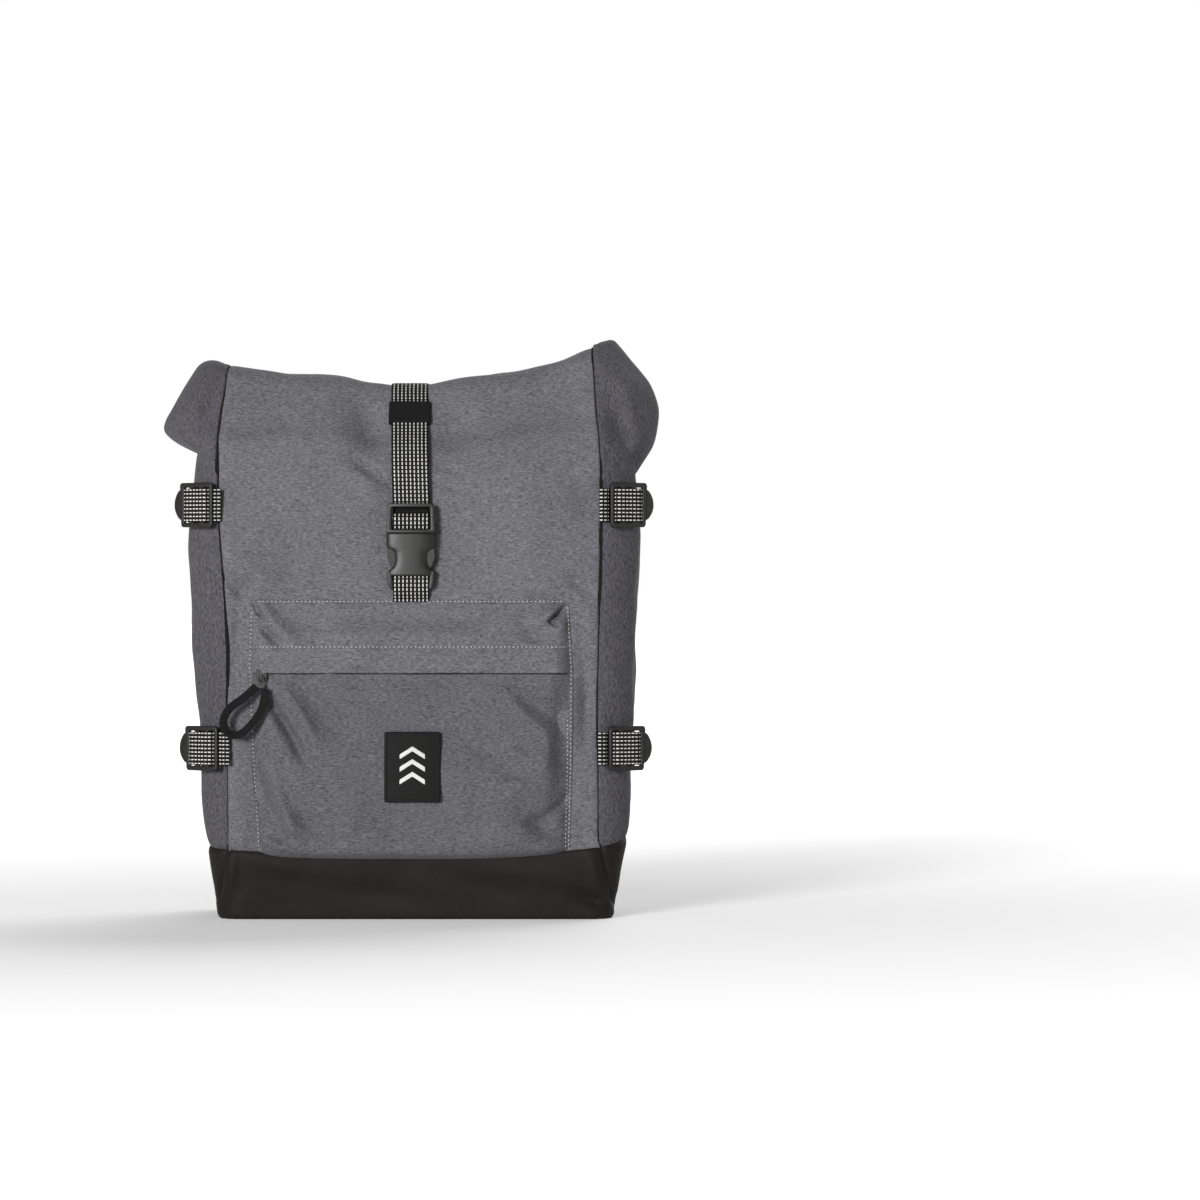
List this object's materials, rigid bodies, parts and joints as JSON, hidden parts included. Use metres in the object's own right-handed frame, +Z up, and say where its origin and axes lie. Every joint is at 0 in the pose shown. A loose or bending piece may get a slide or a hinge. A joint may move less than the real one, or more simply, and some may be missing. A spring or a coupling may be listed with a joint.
{
  "type": "pannier bag",
  "caption": "Roll-top bicycle pannier bag with a zipped front pocket, side-release buckle, compression straps and rack hooks.",
  "frame": {"origin": "centre of the flat underside of the base", "axes": "+Z up, -Y the front with the pocket and buckle, +Y towards the bicycle's rack"},
  "size_m": [0.3785, 0.2218, 0.438],
  "materials": {
    "shell_fabric": "melange coated polyester, matte",
    "side_fabric": "melange coated polyester, matte",
    "coated_base": "near-black coated fabric, matte",
    "webbing": "woven black webbing with reflective dots",
    "plain_webbing": "plain woven black webbing and elastic",
    "buckle_plastic": "satin black acetal",
    "board_plastic": "black sheet plastic",
    "rail_plastic": "fine-textured black nylon",
    "latch_plastic": "fine-textured black nylon",
    "insert_rubber": "dark grey rubber",
    "zip_tape_cloth": "woven black tape",
    "zip_plastic": "black moulded coil",
    "zip_metal": "black lacquered zinc",
    "patch_rubber": "black moulded rubber",
    "steel": "zinc-plated steel"
  },
  "bodies": {
    "bag": {"front_panel": "shell_fabric", "back_panel": "shell_fabric", "roll_top": "shell_fabric", "pocket_face": "shell_fabric", "pocket_top": "shell_fabric", "zip_flap": "shell_fabric", "side_panel_left": "side_fabric", "side_panel_right": "side_fabric", "base_shell": "coated_base", "base_board": "board_plastic", "back_board": "board_plastic", "roll_stiffener": "board_plastic", "closure_strap": "webbing", "buckle_tab_webbing": "webbing", "upper_side_strap_left": "webbing", "upper_side_strap_right": "webbing", "upper_anchor_web_left": "webbing", "upper_anchor_web_right": "webbing", "lower_side_strap_left": "webbing", "lower_side_strap_right": "webbing", "lower_anchor_web_left": "webbing", "lower_anchor_web_right": "webbing", "buckle_female": "buckle_plastic", "zip_tape": "zip_tape_cloth", "zip_teeth": "zip_plastic", "badge_patch": "patch_rubber", "rail": "rail_plastic", "rail_end_caps": "rail_plastic", "lower_rail": "rail_plastic", "handle_brackets": "rail_plastic", "rail_screws": "steel", "rail_nuts": "steel", "lower_rail_screws": "steel", "lower_rail_nuts": "steel"},
    "male_buckle": {"buckle_male": "buckle_plastic"},
    "prong_left": {"buckle_prong_left": "buckle_plastic"},
    "prong_right": {"buckle_prong_right": "buckle_plastic"},
    "keeper": {"strap_keeper": "plain_webbing"},
    "zip_slider": {"zip_slider": "zip_metal"},
    "zip_pull": {"zip_pull": "zip_metal", "zip_ribbon": "plain_webbing"},
    "hook_left": {"hook_left": "rail_plastic", "hook_insert_left": "insert_rubber", "latch_pin_left": "steel", "latch_spring_left": "steel"},
    "latch_left": {"latch_left": "latch_plastic"},
    "hook_right": {"hook_right": "rail_plastic", "hook_insert_right": "insert_rubber", "latch_pin_right": "steel", "latch_spring_right": "steel"},
    "latch_right": {"latch_right": "latch_plastic"},
    "lower_slider": {"lower_slider": "rail_plastic", "lower_pivot": "steel"},
    "lower_hook": {"lower_hook": "rail_plastic"},
    "carry_handle": {"carry_handle": "rail_plastic"},
    "upper_lock_left": {"upper_lock_left": "buckle_plastic"},
    "upper_lock_right": {"upper_lock_right": "buckle_plastic"},
    "lower_lock_left": {"lower_lock_left": "buckle_plastic"},
    "lower_lock_right": {"lower_lock_right": "buckle_plastic"}
  },
  "joints": [
    {"name": "buckle_release", "type": "slide", "parent": "bag", "child": "male_buckle", "axis": [0, 0, 1], "range_m": [0, 0.028], "deforming": ["buckle_prong_left", "buckle_prong_right"]},
    {"name": "prong_squeeze_left", "type": "hinge", "parent": "male_buckle", "child": "prong_left", "pos_m": [-0.0106, -0.0893, 0.287], "axis": [0, 1, 0], "range_deg": [-8, 0], "stiffness_Nm_per_rad": 0.05, "springref_deg": 2.86},
    {"name": "prong_squeeze_right", "type": "hinge", "parent": "male_buckle", "child": "prong_right", "pos_m": [0.0106, -0.0893, 0.287], "axis": [0, 1, 0], "range_deg": [0, 8], "stiffness_Nm_per_rad": 0.05, "springref_deg": -2.86},
    {"name": "keeper_slide", "type": "slide", "parent": "bag", "child": "keeper", "axis": [0, 0.5862, 0.8102], "range_m": [-0.006, 0.006]},
    {"name": "zip_run", "type": "slide", "parent": "bag", "child": "zip_slider", "axis": [1, 0, 0], "range_m": [0, 0.222]},
    {"name": "zip_pull_swing", "type": "hinge", "parent": "zip_slider", "child": "zip_pull", "pos_m": [-0.112, -0.0965, 0.1825], "axis": [-1, 0, 0], "range_deg": [0, 120]},
    {"name": "hook_slide_left", "type": "slide", "parent": "bag", "child": "hook_left", "axis": [1, 0, 0], "range_m": [-0.025, 0.025]},
    {"name": "hook_slide_right", "type": "slide", "parent": "bag", "child": "hook_right", "axis": [1, 0, 0], "range_m": [-0.025, 0.025]},
    {"name": "latch_open_left", "type": "hinge", "parent": "hook_left", "child": "latch_left", "pos_m": [-0.085, 0.099, 0.272], "axis": [1, 0, 0], "range_deg": [0, 30], "stiffness_Nm_per_rad": 0.15, "springref_deg": -11.46},
    {"name": "latch_open_right", "type": "hinge", "parent": "hook_right", "child": "latch_right", "pos_m": [0.085, 0.099, 0.272], "axis": [1, 0, 0], "range_deg": [0, 30], "stiffness_Nm_per_rad": 0.15, "springref_deg": -11.46},
    {"name": "lower_hook_slide", "type": "slide", "parent": "bag", "child": "lower_slider", "axis": [1, 0, 0], "range_m": [-0.03, 0.03]},
    {"name": "lower_hook_swivel", "type": "hinge", "parent": "lower_slider", "child": "lower_hook", "pos_m": [0, 0.0948, 0.085], "axis": [0, 1, 0], "range_deg": [-90, 90]},
    {"name": "handle_swing", "type": "hinge", "parent": "bag", "child": "carry_handle", "pos_m": [0, 0.085, 0.312], "axis": [-1, 0, 0], "range_deg": [0, 80]},
    {"name": "upper_lock_tilt_left", "type": "hinge", "parent": "bag", "child": "upper_lock_left", "pos_m": [-0.15203, -0.08387, 0.312], "axis": [0, 0, 1], "range_deg": [0, 30]},
    {"name": "upper_lock_tilt_right", "type": "hinge", "parent": "bag", "child": "upper_lock_right", "pos_m": [0.15203, -0.08387, 0.312], "axis": [0, 0, -1], "range_deg": [0, 30]},
    {"name": "lower_lock_tilt_left", "type": "hinge", "parent": "bag", "child": "lower_lock_left", "pos_m": [-0.15203, -0.0828, 0.129], "axis": [0, 0, 1], "range_deg": [0, 30]},
    {"name": "lower_lock_tilt_right", "type": "hinge", "parent": "bag", "child": "lower_lock_right", "pos_m": [0.15203, -0.0828, 0.129], "axis": [0, 0, -1], "range_deg": [0, 30]}
  ],
  "couplings": [
    {"joint": "prong_squeeze_left", "follows": "prong_squeeze_right", "ratio": -1}
  ]
}
